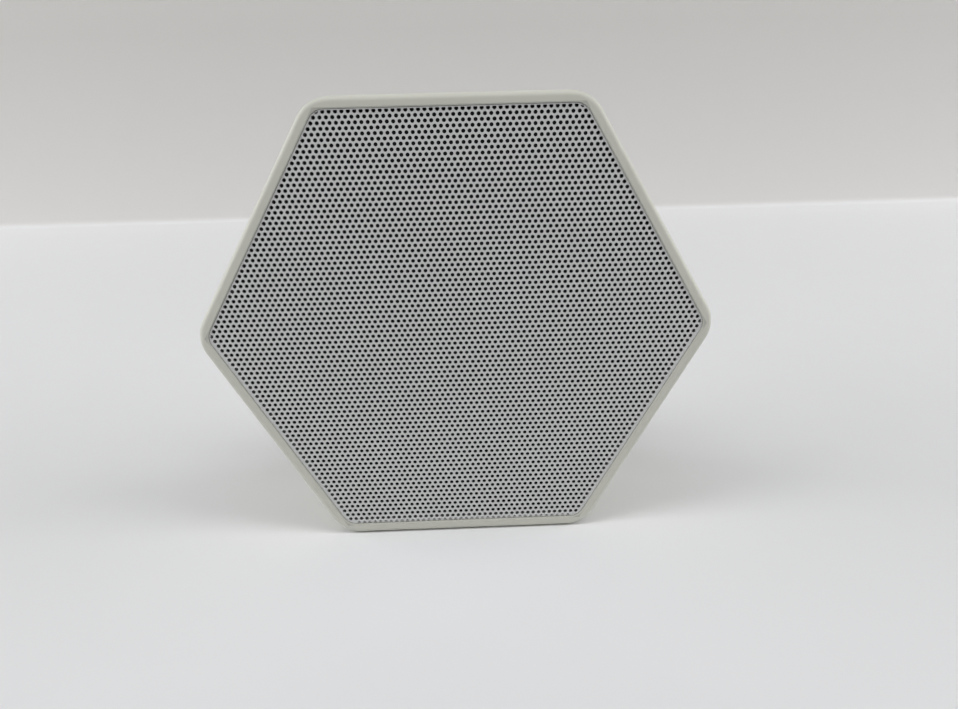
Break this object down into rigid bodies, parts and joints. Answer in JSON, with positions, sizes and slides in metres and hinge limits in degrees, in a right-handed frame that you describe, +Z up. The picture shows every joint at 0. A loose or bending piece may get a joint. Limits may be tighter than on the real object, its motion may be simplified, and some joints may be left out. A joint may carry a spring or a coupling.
{
  "type": "smart speaker",
  "caption": "Hexagonal table-top smart speaker with a flat perforated metal grille in a thin off-white rim, push buttons on top and a power inlet behind.",
  "frame": {"origin": "on the table under the middle of the body", "axes": "+Z up, the grille faces -Y, +X to the right as seen from the front"},
  "size_m": [0.1318, 0.05, 0.1167],
  "materials": {
    "shell_plastic": "fine moulded texture, satin off-white",
    "grille_steel": "powder-coated light grey",
    "scrim_cloth": "open black weave",
    "black_plastic": "moulded black",
    "foam": "soft closed-cell",
    "black_rubber": "matt",
    "screw_steel": "zinc plated",
    "driver_steel": "black stoved",
    "ferrite": "ground ferrite",
    "cone_paper": "pressed fibre, stands in for paper",
    "spider_cloth": "resin-dipped weave",
    "copper": "bare metal",
    "circuit_board": "green solder mask",
    "shield_tin": "tin plated",
    "heatsink_aluminium": "extruded",
    "wire_sleeve": "soft sleeve",
    "white_nylon": "moulded",
    "clear_plastic": "clear, lightly frosted"
  },
  "bodies": {
    "speaker_body": {"front_housing": "shell_plastic", "rear_cover": "shell_plastic", "rear_gasket": "foam", "cover_screws": "screw_steel", "rubber_foot": "black_rubber", "grille": "grille_steel", "grille_cloth": "scrim_cloth", "baffle": "black_plastic", "baffle_gasket": "foam", "baffle_screws": "screw_steel", "driver_basket": "driver_steel", "driver_gasket": "foam", "driver_screws": "screw_steel", "surround": "black_rubber", "spider": "spider_cloth", "top_plate": "driver_steel", "magnet": "ferrite", "yoke": "driver_steel", "terminal_board": "black_plastic", "driver_tags": "copper", "speaker_lead": "wire_sleeve", "speaker_plug": "white_nylon", "main_board": "circuit_board", "board_screws": "screw_steel", "processor_shield": "shield_tin", "radio_module": "shield_tin", "amplifier_heatsink": "heatsink_aluminium", "capacitors": "heatsink_aluminium", "inductors": "black_plastic", "power_jack": "black_plastic", "jack_pin": "copper", "ribbon_sockets": "black_plastic", "ribbon_cable": "white_nylon", "key_board": "circuit_board", "key_board_screws": "screw_steel", "switch_bodies": "black_plastic", "microphones": "shield_tin", "microphone_boots": "black_rubber", "status_led": "clear_plastic", "light_pipe": "clear_plastic"},
    "cone_assembly": {"cone": "cone_paper", "dust_cap": "cone_paper", "coil_former": "cone_paper", "coil_winding": "copper"},
    "volume_down": {"volume_down_button": "shell_plastic", "volume_down_plunger": "black_plastic"},
    "mute": {"mute_button": "shell_plastic", "mute_plunger": "black_plastic"},
    "volume_up": {"volume_up_button": "shell_plastic", "volume_up_plunger": "black_plastic"}
  },
  "joints": [
    {"name": "cone_stroke", "type": "slide", "parent": "speaker_body", "child": "cone_assembly", "axis": [0, 1, 0], "range_m": [-0.0018, 0.0018], "stiffness_N_per_m": 600, "deforming": ["surround", "spider"]},
    {"name": "volume_down_press", "type": "slide", "parent": "speaker_body", "child": "volume_down", "axis": [0, 0, -1], "range_m": [0, 0.0005], "stiffness_N_per_m": 400},
    {"name": "mute_press", "type": "slide", "parent": "speaker_body", "child": "mute", "axis": [0, 0, -1], "range_m": [0, 0.0005], "stiffness_N_per_m": 400},
    {"name": "volume_up_press", "type": "slide", "parent": "speaker_body", "child": "volume_up", "axis": [0, 0, -1], "range_m": [0, 0.0005], "stiffness_N_per_m": 400}
  ]
}
